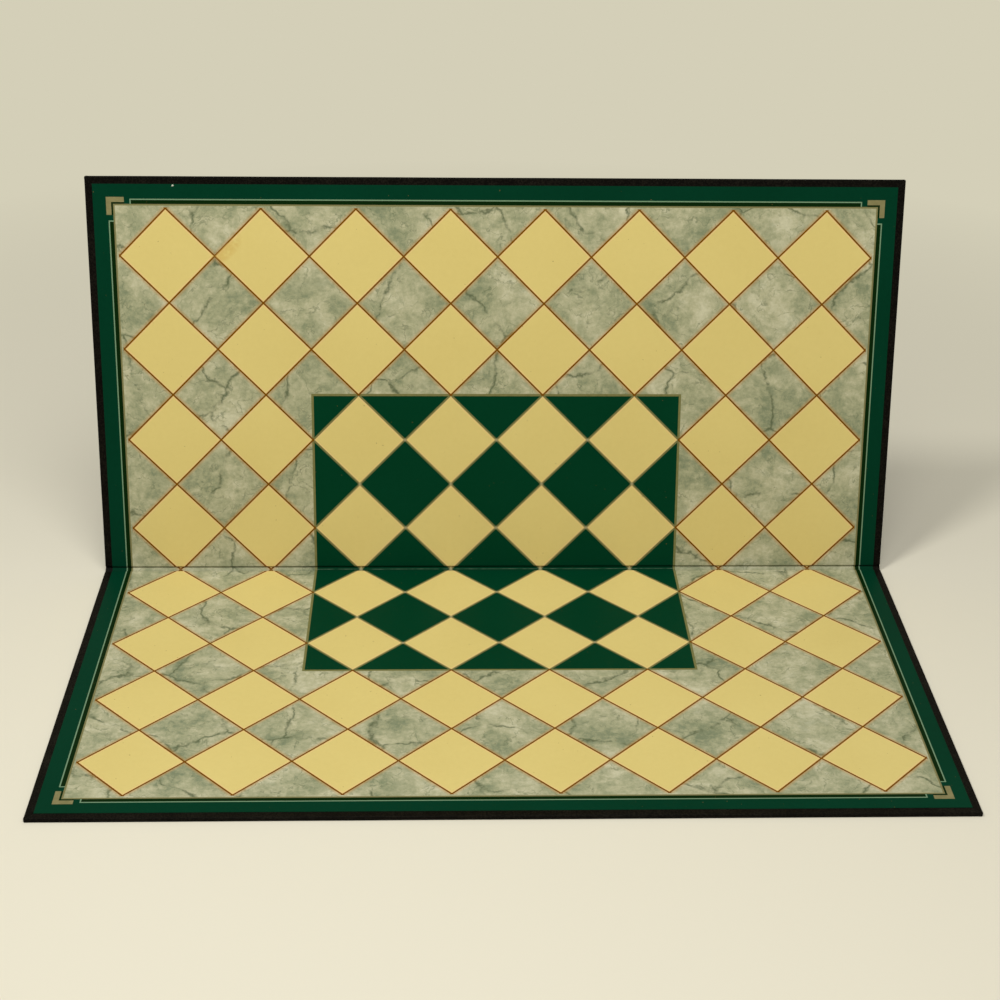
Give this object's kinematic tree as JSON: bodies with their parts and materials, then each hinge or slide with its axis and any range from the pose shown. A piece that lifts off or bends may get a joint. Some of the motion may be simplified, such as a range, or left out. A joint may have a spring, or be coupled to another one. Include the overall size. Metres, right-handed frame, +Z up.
{
  "type": "folding game board",
  "caption": "Folding game board with stiff hinged halves in a black leatherette cover, faced with a printed lattice of yellow squares on green marble and a dark green centre.",
  "frame": {"origin": "centre of the front half's underside, on the table", "axes": "+X along the fold, to the right as seen by the player in front; +Y away from the player, towards the rear half; +Z up"},
  "size_m": [0.4572, 0.2829, 0.2236],
  "materials": {
    "greyboard": "solid grey board of recycled fibre",
    "black_leatherette": "black covering paper with a pressed leather grain",
    "printed_label": "printed paper under a thin varnish"
  },
  "bodies": {
    "front_half": {"front_board": "greyboard", "front_cover": "black_leatherette", "front_label": "printed_label"},
    "spine": {"cover_spine": "black_leatherette", "label_gutter": "printed_label"},
    "rear_half": {"rear_board": "greyboard", "rear_cover": "black_leatherette", "rear_label": "printed_label"}
  },
  "joints": [
    {"name": "rear_fold", "type": "hinge", "parent": "spine", "child": "rear_half", "pos_m": [0, 0.11687, 0.00327], "axis": [1, 0, 0], "range_deg": [-38.25, 51.75], "deforming": ["label_gutter"]},
    {"name": "front_fold", "type": "hinge", "parent": "front_half", "child": "spine", "pos_m": [0, 0.1131, 0.0003], "axis": [1, 0, 0], "range_deg": [-38.25, 51.75], "deforming": ["label_gutter"]}
  ],
  "couplings": [
    {"joint": "front_fold", "follows": "rear_fold", "ratio": 1}
  ]
}
